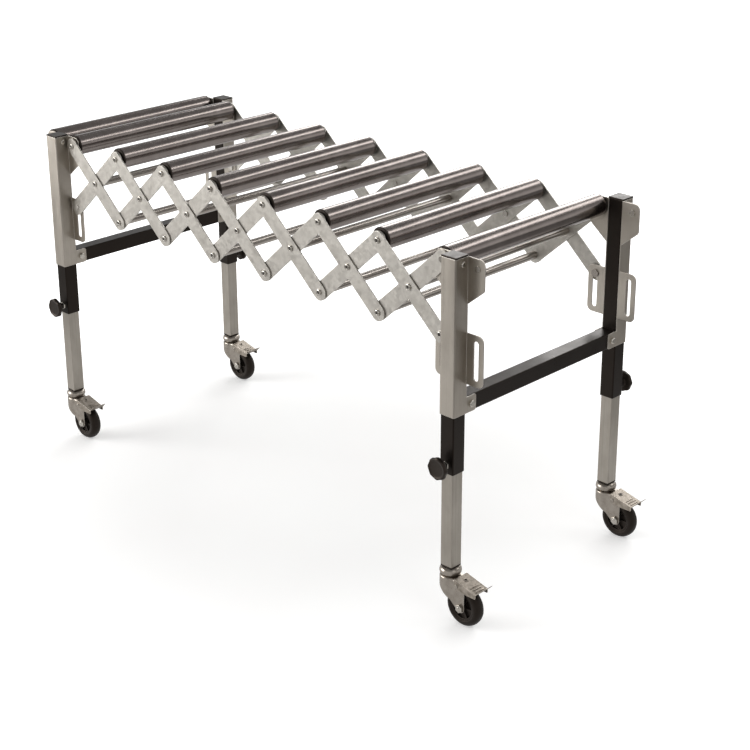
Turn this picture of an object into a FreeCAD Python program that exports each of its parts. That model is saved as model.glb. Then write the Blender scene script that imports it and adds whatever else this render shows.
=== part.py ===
import FreeCAD, Part
import math
import os

V = FreeCAD.Vector
os.makedirs("parts", exist_ok=True)

# Extending roller table: two end frames on casters, joined by a seven-cell scissor
# that carries the rollers. Millimetres, Z up, X along the table, Y across it.
# The near side is -Y. The pose is the fully extended table with the legs part way out.

# Tubes of the end frames
tube_size = 30.0
tube_wall = 1.5
tube_corner = 2.2
frame_width = 450.0
leg_tube_len = 390.0
slide_clear = 0.3
inner_wall = 1.5
inner_len = 360.0
inner_shown = 180.0

# Folded sheet brackets on the legs
sheet = 1.6
bracket_len = 282.0
bend_radius = 2.4
ear_reach = 53.7
ear_corner = 11.0
top_ear_straight = 54.0
top_ear_end = 84.0
ear_slope_radius = 8.0
slot_margin = 10.5
tab_reach = 25.0
tab_corner = 5.0

# Plastic caps in the leg tops
cap_thick = 3.0
cap_plug = 4.5
cap_edge = 1.2

# Scissor
cells = 7
arm_len = 198.6
arm_rise = 133.0
fold_angle = 34.0
arm_width = 32.0
arm_thick = 2.5
layer_gap = 0.4
pivot_off = 38.0
pivot_drop = 17.6
axle_d = 8.0
head_d = 12.0
head_thick = 1.8
running_clear = 0.05
loop_clear = 0.15
collar_d = 14.0
tie_d = 16.0
tie_wall = 1.5
tie_neck = 10.0
slot_pin_d = 10.0
slot_clear = 0.3
slot_end_clear = 1.0
pin_head_d = 15.0
centre_ties = (1, 3, 5, 7)
lower_ties = (1, 3, 5, 6)

# Rollers
roller_d = 42.0
roller_wall = 1.5
roller_side_gap = 1.0
roller_cap_len = 3.0
roller_cap_plug = 14.0
roller_cap_edge = 1.2
roller_cap_wall = 2.0
roller_hub_d = 17.0

# Frame bolts
bolt_d = 6.0
bolt_head_d = 10.5
bolt_head_thick = 4.0
bolt_drop = 11.0
tab_bolt_d = 8.0
tab_bolt_head_d = 13.0
tab_bolt_head_thick = 5.0

# Clamp knobs
knob_rise = 17.0
knob_d = 42.0
knob_thick = 17.0
knob_edge = 4.0
knob_neck_d = 17.0
knob_neck_len = 9.0
knob_screw_d = 8.0
knob_lobes = 8
knob_lobe_depth = 1.6
knob_lobe_d = 12.0
knob_face_gap = 0.4

# Casters
wheel_d = 75.0
wheel_width = 24.0
tread_radius = 7.5
hub_d = 48.0
hub_recess = 2.5
wheel_bore_clear = 0.05
wheel_axle_d = 8.0
wheel_nut_d = 14.0
wheel_nut_thick = 4.5
trail = 36.0
caster_height = 107.0
cheek_gap = 1.5
fork_sheet = 1.6
wheel_roof_gap = 9.0
crown_d = 40.0
crown_edge = 7.5
crown_height = 16.0
fork_back = 13.0
fork_back_z = 62.0
fork_shoulder_x = 21.0
fork_front_z = 72.0
fork_corner = 3.5
stem_d = 11.0
plug_flange = 2.5
plug_depth = 22.0
race_gap = 0.5
boss_radius = 9.0

# Brake pedals
pedal_sheet = 1.5
pedal_gap = 0.4
pedal_root_x = 23.0
pedal_root_z = 90.5
pedal_tip_x = 72.0
pedal_tip_z = 78.5
pedal_lip_x = 82.0
pedal_lip_z = 88.5
skirt_root_z = 74.0
skirt_front_x = 46.0
skirt_foot_z = 70.0
skirt_corner = 3.0
pedal_pin_d = 5.0
pedal_pin_x = 28.0
pedal_pin_z = 78.5

overrun = 5.0

# Values that follow from the sizes above
tube_half = tube_size / 2
inner_size = tube_size - 2 * tube_wall - 2 * slide_clear
leg_y = frame_width / 2
in_y = leg_y - tube_half
out_y = leg_y + tube_half
rest_angle = math.asin(arm_rise / arm_len)
pitch = arm_len * math.cos(rest_angle)
folded_rise = arm_len * math.sin(rest_angle + math.radians(fold_angle))
leg_span = cells * pitch + 2 * pivot_off
left_reach = max(pivot_off + roller_d / 2, ear_reach)
right_reach = max(pedal_lip_x, trail + wheel_d / 2, ear_reach)
mid_x = (left_reach - right_reach) / 2
left_x = mid_x - leg_span / 2
right_x = mid_x + leg_span / 2
leg_foot_z = caster_height
tube_foot_z = leg_foot_z + inner_shown
leg_top_z = tube_foot_z + leg_tube_len
pivot_z = leg_top_z - pivot_drop
low_z = pivot_z - arm_rise
folded_z = pivot_z - folded_rise
bracket_z = leg_top_z - bracket_len
ear_y = in_y + sheet
inner_arm_y = ear_y + layer_gap
outer_arm_y = inner_arm_y + arm_thick + layer_gap
arm_face_y = outer_arm_y + arm_thick
roller_end_y = in_y - roller_side_gap
slot_top_z = low_z + slot_pin_d / 2 + slot_end_clear
slot_foot_z = folded_z - slot_pin_d / 2 - slot_end_clear
slot_half = slot_pin_d / 2 + slot_clear
clamp_z = tube_foot_z + knob_rise
wheel_r = wheel_d / 2
roof_z = wheel_d + wheel_roof_gap
cheek_y = wheel_width / 2 + cheek_gap
fork_y = cheek_y + fork_sheet
pedal_y = fork_y + pedal_gap + pedal_sheet
crown_z = leg_foot_z - plug_flange - race_gap
fork_top_z = crown_z - crown_height


def box(x0, x1, y0, y1, z0, z1):
    return Part.makeBox(x1 - x0, y1 - y0, z1 - z0, V(x0, y0, z0))


def rod_x(y, z, r, x0, x1):
    return Part.makeCylinder(r, x1 - x0, V(x0, y, z), V(1, 0, 0))


def rod_y(x, z, r, y0, y1):
    return Part.makeCylinder(r, y1 - y0, V(x, y0, z), V(0, 1, 0))


def rod_z(x, y, r, z0, z1):
    return Part.makeCylinder(r, z1 - z0, V(x, y, z0), V(0, 0, 1))


def other_side(shape):
    return shape.mirror(V(0, 0, 0), V(0, 1, 0))


def both_sides(shape):
    return [shape, other_side(shape)]


def soften(shape, radius, wanted):
    edges = [e for e in shape.Edges if wanted(e.BoundBox)]
    return shape.makeFillet(radius, edges)


def profile(corners, y0, y1):
    """Plate in the XZ plane. Each corner is (x, z, radius)."""
    count = len(corners)
    ends = []
    for i, (x, z, r) in enumerate(corners):
        here = V(x, 0, z)
        back = V(corners[i - 1][0], 0, corners[i - 1][1]) - here
        ahead = V(corners[(i + 1) % count][0], 0, corners[(i + 1) % count][1]) - here
        back.normalize()
        ahead.normalize()
        half = back.getAngle(ahead) / 2
        if r == 0:
            ends.append((here, here, here))
            continue
        bisector = back + ahead
        bisector.normalize()
        middle = here + bisector * (r / math.sin(half) - r)
        run = r / math.tan(half)
        ends.append((here + back * run, middle, here + ahead * run))
    edges = []
    for i, (start, middle, end) in enumerate(ends):
        if start != end:
            edges.append(Part.Arc(start, middle, end).toShape())
        after = ends[(i + 1) % count][0]
        if end.distanceToPoint(after) > Part.Precision.confusion():
            edges.append(Part.LineSegment(end, after).toShape())
    face = Part.Face(Part.Wire(Part.__sortEdges__(edges)))
    solid = face.extrude(V(0, y1 - y0, 0))
    solid.translate(V(0, y0, 0))
    return solid


def square_tube(size, wall, corner, x, y, z0, z1):
    half = size / 2
    hollow = half - wall
    outside = box(x - half, x + half, y - half, y + half, z0, z1)
    outside = soften(outside, corner, lambda b: b.ZLength > max(b.XLength, b.YLength))
    return outside.cut(box(x - hollow, x + hollow, y - hollow, y + hollow,
                           z0 - overrun, z1 + overrun))


# End frames

def leg_tube(x):
    tube = square_tube(tube_size, tube_wall, tube_corner, x, -leg_y, tube_foot_z, leg_top_z)
    tube = tube.cut(rod_y(x, clamp_z, knob_screw_d / 2 + running_clear, -out_y - overrun, -leg_y))
    bolt_z = leg_top_z - bolt_drop
    return tube.cut(rod_x(-leg_y, bolt_z, bolt_d / 2, x - tube_size, x + tube_size))


def ear(x, side, corners):
    return profile([(x + side * dx, z, r) for dx, z, r in corners], -ear_y, -in_y)


def top_ear_hole(x, side):
    """The first scissor arm turns in its ear. The other axles are fixed in theirs."""
    hole_r = axle_d / 2
    if x < mid_x and side > 0:
        hole_r = axle_d / 2 + running_clear
    return rod_y(x + side * pivot_off, pivot_z, hole_r, -ear_y - overrun, 0)


def ear_slot(x, side):
    mid = x + side * pivot_off
    ends = [(mid - slot_half, slot_foot_z), (mid + slot_half, slot_foot_z),
            (mid + slot_half, slot_top_z), (mid - slot_half, slot_top_z)]
    return profile([(x, z, slot_half) for x, z in ends], -ear_y - overrun, 0)


def bracket(x):
    wide = tube_half + sheet
    back = out_y + sheet
    shell = box(x - wide, x + wide, -back, -in_y, bracket_z, leg_top_z)
    shell = soften(shell, bend_radius,
                   lambda b: b.ZLength > sheet and b.YMax < -leg_y and b.XLength < sheet)
    shell = shell.cut(box(x - tube_half, x + tube_half, -out_y, 0,
                          bracket_z - overrun, leg_top_z + overrun))
    top_ear = [(tube_half, leg_top_z, 0), (ear_reach, leg_top_z, ear_corner),
               (ear_reach, leg_top_z - top_ear_straight, ear_slope_radius),
               (wide, leg_top_z - top_ear_end, 0), (tube_half, leg_top_z - top_ear_end, 0)]
    slot_ear = [(tube_half, slot_top_z + slot_margin, 0),
                (ear_reach, slot_top_z + slot_margin, ear_corner),
                (ear_reach, slot_foot_z - slot_margin, ear_corner),
                (tube_half, slot_foot_z - slot_margin, 0)]
    for side in (-1, 1):
        shell = shell.fuse(ear(x, side, top_ear).cut(top_ear_hole(x, side)))
        shell = shell.fuse(ear(x, side, slot_ear).cut(ear_slot(x, side)))
        inside, outside = sorted((x + side * tube_half, x + side * wide))
        tab = box(inside, outside, -in_y, tab_reach - in_y, bracket_z, bracket_z + tube_size)
        tab = soften(tab, tab_corner, lambda b: b.YMin > -in_y and b.ZLength < sheet)
        shell = shell.fuse(tab)
    bolt_z = leg_top_z - bolt_drop
    shell = shell.cut(rod_x(-leg_y, bolt_z, bolt_d / 2, x - tube_size, x + tube_size))
    shell = shell.cut(tab_hole(x))
    return shell.removeSplitter()


def tab_hole(x):
    hole_z = bracket_z + tube_half
    return rod_x(tab_reach / 2 - in_y, hole_z, tab_bolt_d / 2, x - tube_size, x + tube_size)


def crossbar(x):
    half = tube_half
    hollow = half - tube_wall
    bar = box(x - half, x + half, -in_y, in_y, bracket_z, bracket_z + tube_size)
    bar = soften(bar, tube_corner, lambda b: b.YLength > max(b.XLength, b.ZLength))
    bar = bar.cut(box(x - hollow, x + hollow, -in_y - overrun, in_y + overrun,
                      bracket_z + tube_wall, bracket_z + tube_size - tube_wall))
    return bar.cut(tab_hole(x)).cut(other_side(tab_hole(x)))


def cross_bolt(x, y, z, shank, head, head_len):
    wide = tube_half + sheet
    bolt = rod_x(y, z, shank / 2, x - wide - head_len, x + wide)
    button = rod_x(y, z, head / 2, x + wide, x + wide + head_len)
    button = soften(button, head_len / 2, lambda b: b.XMin > x + wide and b.XLength < head_len)
    nut = rod_x(y, z, head / 2, x - wide - head_len, x - wide)
    return bolt.fuse(button).fuse(nut).removeSplitter()


def frame_bolts(x):
    bolt_z = leg_top_z - bolt_drop
    upper = cross_bolt(x, -leg_y, bolt_z, bolt_d, bolt_head_d, bolt_head_thick)
    lower = cross_bolt(x, tab_reach / 2 - in_y, bracket_z + tube_half,
                       tab_bolt_d, tab_bolt_head_d, tab_bolt_head_thick)
    return both_sides(upper) + both_sides(lower)


def ear_stud(x):
    stud = rod_y(x, pivot_z, axle_d / 2, -ear_y - head_thick, -in_y + head_thick)
    heads = rod_y(x, pivot_z, head_d / 2, -ear_y - head_thick, -ear_y)
    tail = rod_y(x, pivot_z, head_d / 2, -in_y, head_thick - in_y)
    return stud.fuse(heads).fuse(tail).removeSplitter()


def leg_cap(x):
    wide = tube_half + sheet
    lid = box(x - wide, x + wide, -out_y - sheet, -in_y, leg_top_z, leg_top_z + cap_thick)
    lid = soften(lid, cap_edge, lambda b: b.ZMax > leg_top_z + cap_edge)
    plug = tube_half - tube_wall
    inside = box(x - plug, x + plug, -leg_y - plug, -leg_y + plug, leg_top_z - cap_plug, leg_top_z)
    return lid.fuse(inside).removeSplitter()


# Scissor. Upper pivot i sits at upper_x(i), the lower one right below it.

def upper_x(i):
    return left_x + pivot_off + i * pitch


def centre_x(i):
    return upper_x(i) - pitch / 2


def arm(x_top, x_low, y_in, holes):
    half = arm_width / 2
    lean = math.atan2(low_z - pivot_z, x_low - x_top)
    flat = profile([(-half, -half, half), (arm_len + half, -half, half),
                    (arm_len + half, half, half), (-half, half, half)], -y_in - arm_thick, -y_in)
    flat.rotate(V(0, 0, 0), V(0, 1, 0), -math.degrees(lean))
    flat.translate(V(x_top, 0, pivot_z))
    for x, z, r in holes:
        flat = flat.cut(rod_y(x, z, r, -arm_face_y - overrun, 0))
    return flat


def outer_arms(i):
    top, low = upper_x(i - 1), upper_x(i)
    shaft = axle_d / 2
    mid_z = (pivot_z + low_z) / 2
    holes = [(top, pivot_z, shaft), (centre_x(i), mid_z, shaft), (low, low_z, shaft)]
    return both_sides(arm(top, low, outer_arm_y, holes))


def inner_arms(i):
    top, low = upper_x(i), upper_x(i - 1)
    running = axle_d / 2 + running_clear
    low_hole = axle_d / 2 + loop_clear
    if i == 1:
        low_hole = axle_d / 2
    mid_z = (pivot_z + low_z) / 2
    holes = [(top, pivot_z, running), (centre_x(i), mid_z, running), (low, low_z, low_hole)]
    return both_sides(arm(top, low, inner_arm_y, holes))


def through_axle(x, z, face_y):
    """Axle across the whole table with a flat head outside each arm."""
    shaft = rod_y(x, z, axle_d / 2, -face_y - head_thick, face_y + head_thick)
    for head in both_sides(rod_y(x, z, head_d / 2, -face_y - head_thick, -face_y)):
        shaft = shaft.fuse(head)
    return shaft.removeSplitter()


def tie_rod(x, z):
    """Axle with a spacer tube over it. The tube's ends are swaged down onto the axle."""
    end = inner_arm_y - layer_gap
    tube = rod_y(x, z, tie_d / 2, -end, end)
    tube = tube.cut(rod_y(x, z, tie_d / 2 - tie_wall, tie_neck - end, end - tie_neck))
    tube = tube.cut(rod_y(x, z, axle_d / 2, -end - overrun, end + overrun))
    return [through_axle(x, z, arm_face_y), tube]


def rivet(x, z):
    tail_y = inner_arm_y - layer_gap
    shaft = rod_y(x, z, axle_d / 2, -arm_face_y - head_thick, -tail_y)
    head = rod_y(x, z, head_d / 2, -arm_face_y - head_thick, -arm_face_y)
    tail = rod_y(x, z, head_d / 2, -tail_y, head_thick - tail_y)
    return both_sides(shaft.fuse(head).fuse(tail).removeSplitter())


def slot_pin(x, arm_y):
    """Shoulder pin riveted to an arm, with its shoulder in the slot of the ear."""
    face = arm_y + arm_thick
    pin = rod_y(x, low_z, axle_d / 2, -face - head_thick, -in_y)
    pin = pin.fuse(rod_y(x, low_z, head_d / 2, -face - head_thick, -face))
    pin = pin.fuse(rod_y(x, low_z, slot_pin_d / 2, -arm_y, layer_gap - in_y))
    pin = pin.fuse(rod_y(x, low_z, pin_head_d / 2, layer_gap - in_y, layer_gap + head_thick - in_y))
    return both_sides(pin.removeSplitter())


def arm_pins(i):
    axle = through_axle(upper_x(i - 1), pivot_z, arm_face_y)
    if i == 1:
        collar = rod_y(upper_x(0), pivot_z, collar_d / 2, -outer_arm_y, -inner_arm_y)
        for ring in both_sides(collar):
            axle = axle.fuse(ring)
        axle = axle.removeSplitter()
    pieces = [axle]
    mid_z = (pivot_z + low_z) / 2
    if i in centre_ties:
        pieces.extend(tie_rod(centre_x(i), mid_z))
    else:
        pieces.extend(rivet(centre_x(i), mid_z))
    if i == cells:
        pieces.extend(slot_pin(upper_x(i), outer_arm_y))
    elif i in lower_ties:
        pieces.extend(tie_rod(upper_x(i), low_z))
    else:
        pieces.extend(rivet(upper_x(i), low_z))
    return pieces


# Rollers

def roller(x):
    r = roller_d / 2
    tube_end = roller_end_y - roller_cap_len
    tube = rod_y(x, pivot_z, r, -tube_end, tube_end)
    tube = tube.cut(rod_y(x, pivot_z, r - roller_wall, -roller_end_y, roller_end_y))
    cap = rod_y(x, pivot_z, r, -roller_end_y, -tube_end)
    rim = [e for e in cap.Edges if e.BoundBox.YMax < -tube_end - roller_cap_edge]
    cap = cap.makeChamfer(roller_cap_edge, rim)
    plug = rod_y(x, pivot_z, r - roller_wall, -tube_end, roller_cap_plug - tube_end)
    plug = plug.cut(rod_y(x, pivot_z, r - roller_wall - roller_cap_wall, -tube_end, 0))
    cap = cap.fuse(plug)
    cap = cap.fuse(rod_y(x, pivot_z, roller_hub_d / 2, -tube_end, roller_cap_plug - tube_end))
    cap = cap.cut(rod_y(x, pivot_z, axle_d / 2 + running_clear, -in_y - overrun, 0))
    return [tube] + both_sides(cap.removeSplitter())


# Sliding legs, clamp knobs and casters, built at the near side of leg x

def inner_leg(x):
    tube_top = leg_foot_z + inner_len
    tube = square_tube(inner_size, inner_wall, tube_corner, x, -leg_y, leg_foot_z, tube_top)
    plug_half = inner_size / 2 - inner_wall
    flange_half = inner_size / 2
    plug = box(x - plug_half, x + plug_half, -leg_y - plug_half, -leg_y + plug_half,
               leg_foot_z, leg_foot_z + plug_depth)
    flange = box(x - flange_half, x + flange_half, -leg_y - flange_half, -leg_y + flange_half,
                 leg_foot_z - plug_flange, leg_foot_z)
    flange = soften(flange, tube_corner, lambda b: b.ZLength > max(b.XLength, b.YLength))
    plug = plug.fuse(flange)
    hole = rod_z(x, -leg_y, stem_d / 2 + running_clear, 0, leg_top_z)
    return [tube, plug.cut(hole).removeSplitter()]


def knob(x):
    face = -out_y - knob_face_gap
    neck_end = face - knob_neck_len
    head_end = neck_end - knob_thick
    head = rod_y(x, clamp_z, knob_d / 2, head_end, neck_end)
    head = soften(head, knob_edge, lambda b: b.YLength < knob_edge)
    lobe_at = knob_d / 2 + knob_lobe_d / 2 - knob_lobe_depth
    for n in range(knob_lobes):
        turn = 2 * math.pi * n / knob_lobes
        head = head.cut(rod_y(x + lobe_at * math.cos(turn), clamp_z + lobe_at * math.sin(turn),
                              knob_lobe_d / 2, head_end - overrun, neck_end + overrun))
    grip = head.fuse(rod_y(x, clamp_z, knob_neck_d / 2, neck_end, face))
    tip = -leg_y - inner_size / 2 - slide_clear
    screw = rod_y(x, clamp_z, knob_screw_d / 2, neck_end - knob_thick / 2, tip)
    return [grip.cut(screw).removeSplitter(), screw]


def fork(x):
    axle_x = x + trail
    front_x = axle_x + boss_radius
    foot_z = wheel_r - boss_radius
    sides = [(x - fork_back, fork_top_z, fork_corner),
             (x + fork_shoulder_x, fork_top_z, fork_corner),
             (front_x, fork_front_z, fork_corner), (front_x, foot_z, boss_radius),
             (axle_x - boss_radius, foot_z, boss_radius), (x - fork_back, fork_back_z, fork_corner)]
    body = profile(sides, -fork_y, fork_y)
    back_x, ahead_x = x - fork_back - overrun, front_x + overrun
    body = body.cut(box(back_x, ahead_x, -cheek_y, cheek_y, 0, roof_z))
    body = body.cut(box(x + fork_shoulder_x, ahead_x, -cheek_y, cheek_y, 0, crown_z))
    crown = rod_z(x, 0, crown_d / 2, fork_top_z, crown_z)
    crown = soften(crown, crown_edge, lambda b: b.ZLength < crown_edge)
    body = body.fuse(crown)
    stem = rod_z(x, 0, stem_d / 2, roof_z, leg_foot_z + plug_depth)
    pin = rod_y(x + pedal_pin_x, pedal_pin_z, pedal_pin_d / 2, -pedal_y, pedal_y)
    axle_end = fork_y + wheel_nut_thick
    axle = rod_y(axle_x, wheel_r, wheel_axle_d / 2, -axle_end, axle_end)
    body = body.cut(stem).cut(axle).cut(pin)
    for nut in both_sides(rod_y(axle_x, wheel_r, wheel_nut_d / 2, -axle_end, -fork_y)):
        axle = axle.fuse(nut)
    return at_leg([body.removeSplitter(), stem, axle.removeSplitter(), pin])


def at_leg(pieces):
    for piece in pieces:
        piece.translate(V(0, -leg_y, 0))
    return pieces


def wheel(x):
    axle_x = x + trail
    half = wheel_width / 2
    tyre = rod_y(axle_x, wheel_r, wheel_r, -half, half)
    tyre = soften(tyre, tread_radius, lambda b: b.YLength < half)
    tyre = tyre.cut(rod_y(axle_x, wheel_r, hub_d / 2, -half - overrun, half + overrun))
    hub = rod_y(axle_x, wheel_r, hub_d / 2, hub_recess - half, half - hub_recess)
    hub = hub.fuse(rod_y(axle_x, wheel_r, wheel_axle_d, -half, half))
    hub = hub.cut(rod_y(axle_x, wheel_r, wheel_axle_d / 2 + wheel_bore_clear, -wheel_d, wheel_d))
    return at_leg([tyre, hub.removeSplitter()])


def pedal(x):
    """Channel over the fork: a sloping top with a turned-up lip and two side skirts."""
    up = pedal_sheet
    top = [(x + pedal_root_x, pedal_root_z, 0), (x + pedal_root_x, pedal_root_z - up, 0),
           (x + pedal_tip_x, pedal_tip_z - up, 0), (x + pedal_lip_x, pedal_lip_z - up, 0),
           (x + pedal_lip_x, pedal_lip_z, 0), (x + pedal_tip_x, pedal_tip_z, 0)]
    channel = profile(top, -pedal_y, pedal_y)
    skirt = [(x + pedal_root_x, pedal_root_z - up, 0), (x + pedal_tip_x, pedal_tip_z - up, 0),
             (x + pedal_tip_x, skirt_foot_z, skirt_corner / 2),
             (x + skirt_front_x, skirt_foot_z, skirt_corner),
             (x + pedal_root_x, skirt_root_z, skirt_corner)]
    for side in both_sides(profile(skirt, -pedal_y, -fork_y - pedal_gap)):
        channel = channel.fuse(side)
    hole_r = pedal_pin_d / 2 + running_clear
    hole_end = pedal_y + overrun
    channel = channel.cut(rod_y(x + pedal_pin_x, pedal_pin_z, hole_r, -hole_end, hole_end))
    return at_leg([channel.removeSplitter()])


# Nodes

nodes = {}
for name, leg_x in (("left", left_x), ("right", right_x)):
    nodes[name + "_leg_tubes"] = both_sides(leg_tube(leg_x))
    nodes[name + "_brackets"] = both_sides(bracket(leg_x))
    nodes[name + "_crossbar"] = [crossbar(leg_x)]
    nodes[name + "_frame_bolts"] = frame_bolts(leg_x)
    nodes[name + "_leg_caps"] = both_sides(leg_cap(leg_x))
nodes["left_frame_bolts"].append(through_axle(left_x - pivot_off, pivot_z, ear_y))
right_arm_face = inner_arm_y + arm_thick + layer_gap
nodes["right_frame_bolts"].append(through_axle(upper_x(cells), pivot_z, right_arm_face))
nodes["right_frame_bolts"].extend(both_sides(ear_stud(right_x + pivot_off)))

for i in range(1, cells + 1):
    nodes["outer_arms_%d" % i] = outer_arms(i)
    nodes["inner_arms_%d" % i] = inner_arms(i)
    nodes["arm_pins_%d" % i] = arm_pins(i)
nodes["inner_arms_1"].extend(slot_pin(upper_x(0), inner_arm_y))

nodes["roller_1"] = roller(left_x - pivot_off)
for i in range(cells + 1):
    nodes["roller_%d" % (i + 2)] = roller(upper_x(i))

builders = (("leg", inner_leg), ("clamp_knob", knob), ("caster_fork", fork),
            ("caster_wheel", wheel), ("brake_pedal", pedal))
for place, leg_x in (("left", left_x), ("right", right_x)):
    for kind, builder in builders:
        pieces = builder(leg_x)
        nodes["near_%s_%s" % (place, kind)] = pieces
        nodes["far_%s_%s" % (place, kind)] = [other_side(piece) for piece in pieces]

for name, pieces in nodes.items():
    Part.makeCompound(pieces).exportStep("parts/%s.step" % name)
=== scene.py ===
# %% [markdown]
# # An extending roller table
#
# The table is drawn out like a concertina between two end frames on casters. Its tubes,
# folded brackets, scissor arms and rollers come from the CAD model, in metres and in place.
# This lesson gives every one of them a finish, adds the small forms that a CAD solid leaves
# out, and then sets up lamps and a camera to photograph the table in a plain white studio.
#
# We start by loading the imported model.

# %% Load the frame
import math

import bmesh
import bpy
from mathutils import Matrix, Vector


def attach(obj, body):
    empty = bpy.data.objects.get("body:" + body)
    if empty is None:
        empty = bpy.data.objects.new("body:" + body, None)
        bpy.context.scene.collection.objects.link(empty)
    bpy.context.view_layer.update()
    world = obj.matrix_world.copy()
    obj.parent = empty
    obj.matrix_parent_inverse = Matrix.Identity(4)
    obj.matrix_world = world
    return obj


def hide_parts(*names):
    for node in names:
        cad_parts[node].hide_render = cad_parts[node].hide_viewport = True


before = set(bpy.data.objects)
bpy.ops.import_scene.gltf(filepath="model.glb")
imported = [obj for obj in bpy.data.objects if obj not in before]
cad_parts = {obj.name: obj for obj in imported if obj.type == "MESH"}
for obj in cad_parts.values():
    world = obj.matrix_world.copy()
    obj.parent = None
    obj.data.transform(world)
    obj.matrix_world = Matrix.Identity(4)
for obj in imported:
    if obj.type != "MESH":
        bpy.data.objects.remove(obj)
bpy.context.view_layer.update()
scene = bpy.context.scene

# %% [markdown]
# ## Colours and nodes
#
# Colours are written as sRGB hex values, but shader sockets want linear light. One
# function converts them. A second one adds a node, sets it, and links every input that is
# given a socket in place of a number. Inputs that share a name are found by their number: in
# a Mix node 0 is the share, 2 and 3 are the numbers to mix, and 6 and 7 the colours.
#
# Patterns are sized by the millimetres of one grain: the Object coordinates are in metres, so
# a grain of g mm needs a scale of 1000 / g.
#
# Four more functions do what a finishing shop does. A tint goes from one colour to another
# as a pattern rises, a polish makes the surface duller or brighter by a pattern, and a relief
# rounds the edges, dents the surface and hands back a mask of the edges: on the powder coat it
# places wear, on the other finishes a painted highlight. A sheen sets how much of the warm
# studio light a coat or a plastic mirrors.

# %% Helpers for materials
MM = 0.001
MIDDLE = (0.3, 0.7)
WHOLE = (0.0, 1.0)
EDGE_FROM, EDGE_TO = 0.78, 0.985
WARM_SHEEN = "#ffe6d2"


def linear(hex_colour):
    channels = [int(hex_colour[i:i + 2], 16) / 255 for i in (1, 3, 5)]
    curve = [c / 12.92 if c <= 0.04045 else ((c + 0.055) / 1.055) ** 2.4 for c in channels]
    return (*curve, 1.0)


def add_node(tree, kind, settings=None, inputs=None):
    node = tree.nodes.new(kind)
    for name, value in (settings or {}).items():
        setattr(node, name, value)
    for name, value in (inputs or {}).items():
        if isinstance(value, bpy.types.NodeSocket):
            tree.links.new(value, node.inputs[name])
        else:
            node.inputs[name].default_value = linear(value) if isinstance(value, str) else value
    return node


def new_finish(name, metallic=0.0):
    material = bpy.data.materials.new(name)
    material.use_nodes = True
    shader = material.node_tree.nodes["Principled BSDF"]
    shader.inputs["Metallic"].default_value = metallic
    return material, material.node_tree, shader


def grain(tree, size_mm, detail=3.0):
    """Noise whose grains measure size_mm along X, Y and Z. Most of it lies in the MIDDLE."""
    coords = add_node(tree, "ShaderNodeTexCoord")
    sized = add_node(tree, "ShaderNodeMapping", inputs={
        "Vector": coords.outputs["Object"], "Scale": [1 / (g * MM) for g in size_mm]})
    noise = add_node(tree, "ShaderNodeTexNoise", inputs={
        "Vector": sized.outputs["Vector"], "Scale": 1.0, "Detail": detail, "Roughness": 0.55})
    return noise.outputs["Fac"]


def tint(tree, pattern, first, second, amount=WHOLE, between=MIDDLE):
    """Mixes a second colour into the first by amount, as the pattern rises between two values."""
    share = add_node(tree, "ShaderNodeMapRange", inputs={
        "Value": pattern, "From Min": between[0], "From Max": between[1],
        "To Min": amount[0], "To Max": amount[1]})
    mix = add_node(tree, "ShaderNodeMix", {"data_type": "RGBA"}, {
        0: share.outputs["Result"], 6: first, 7: second})
    return mix.outputs[2]


def polish(tree, shader, pattern, low, high, between=MIDDLE):
    """Lets the roughness go from low to high as the pattern rises between two values."""
    rough = add_node(tree, "ShaderNodeMapRange", inputs={
        "Value": pattern, "From Min": between[0], "From Max": between[1],
        "To Min": low, "To Max": high})
    tree.links.new(rough.outputs["Result"], shader.inputs["Roughness"])


def relief(tree, shader, pattern, depth_mm, edge_mm):
    """Rolls the normal over the edges, dents it by the pattern, and gives a mask of the edges."""
    soft = add_node(tree, "ShaderNodeBevel", {"samples": 6}, {"Radius": edge_mm * MM})
    dent = add_node(tree, "ShaderNodeBump", inputs={
        "Height": pattern, "Strength": 0.6, "Distance": depth_mm * MM,
        "Normal": soft.outputs["Normal"]})
    tree.links.new(dent.outputs["Normal"], shader.inputs["Normal"])
    flat = add_node(tree, "ShaderNodeNewGeometry")
    alike = add_node(tree, "ShaderNodeVectorMath", {"operation": "DOT_PRODUCT"}, {
        0: soft.outputs["Normal"], 1: flat.outputs["Normal"]})
    edge = add_node(tree, "ShaderNodeMapRange", inputs={
        "Value": alike.outputs["Value"], "From Min": EDGE_FROM, "From Max": EDGE_TO,
        "To Min": 1.0, "To Max": 0.0})
    return edge.outputs["Result"]


def sheen(shader, level):
    shader.inputs["Specular IOR Level"].default_value = level
    shader.inputs["Specular Tint"].default_value = linear(WARM_SHEEN)


print("helpers ready; mid grey is", round(linear("#808080")[0], 3), "in linear light")

# %% [markdown]
# ## Black powder-coated tube
#
# The legs and crossbars are square steel tube with a black powder coat. Powder flows out in
# the oven to a skin with a faint orange peel of 2 to 3 mm, half glossy, and it wears grey
# along the corners where hands and clamps touch it. One could paint a metal black, but what
# the eye sees is the coat, so the tube stays a dielectric with a tinted gloss on top. The
# peel is drawn at 5 mm so that it shows.

# %% Powder coat
powder_coat, tree, shader = new_finish("black_powder_coat")
cloud = grain(tree, (70, 70, 70))
peel = grain(tree, (5, 5, 5), detail=1.0)
worn = grain(tree, (14, 14, 14))
edge = relief(tree, shader, peel, depth_mm=0.12, edge_mm=1.6)
skin = tint(tree, cloud, "#0a0807", "#120f0d")
rubbed = tint(tree, worn, skin, "#3d3733", amount=(0.0, 0.6), between=(0.45, 0.7))
tree.links.new(tint(tree, edge, skin, rubbed, between=WHOLE), shader.inputs["Base Color"])
polish(tree, shader, cloud, 0.26, 0.38)
sheen(shader, 0.24)
print("made", powder_coat.name)
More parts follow.
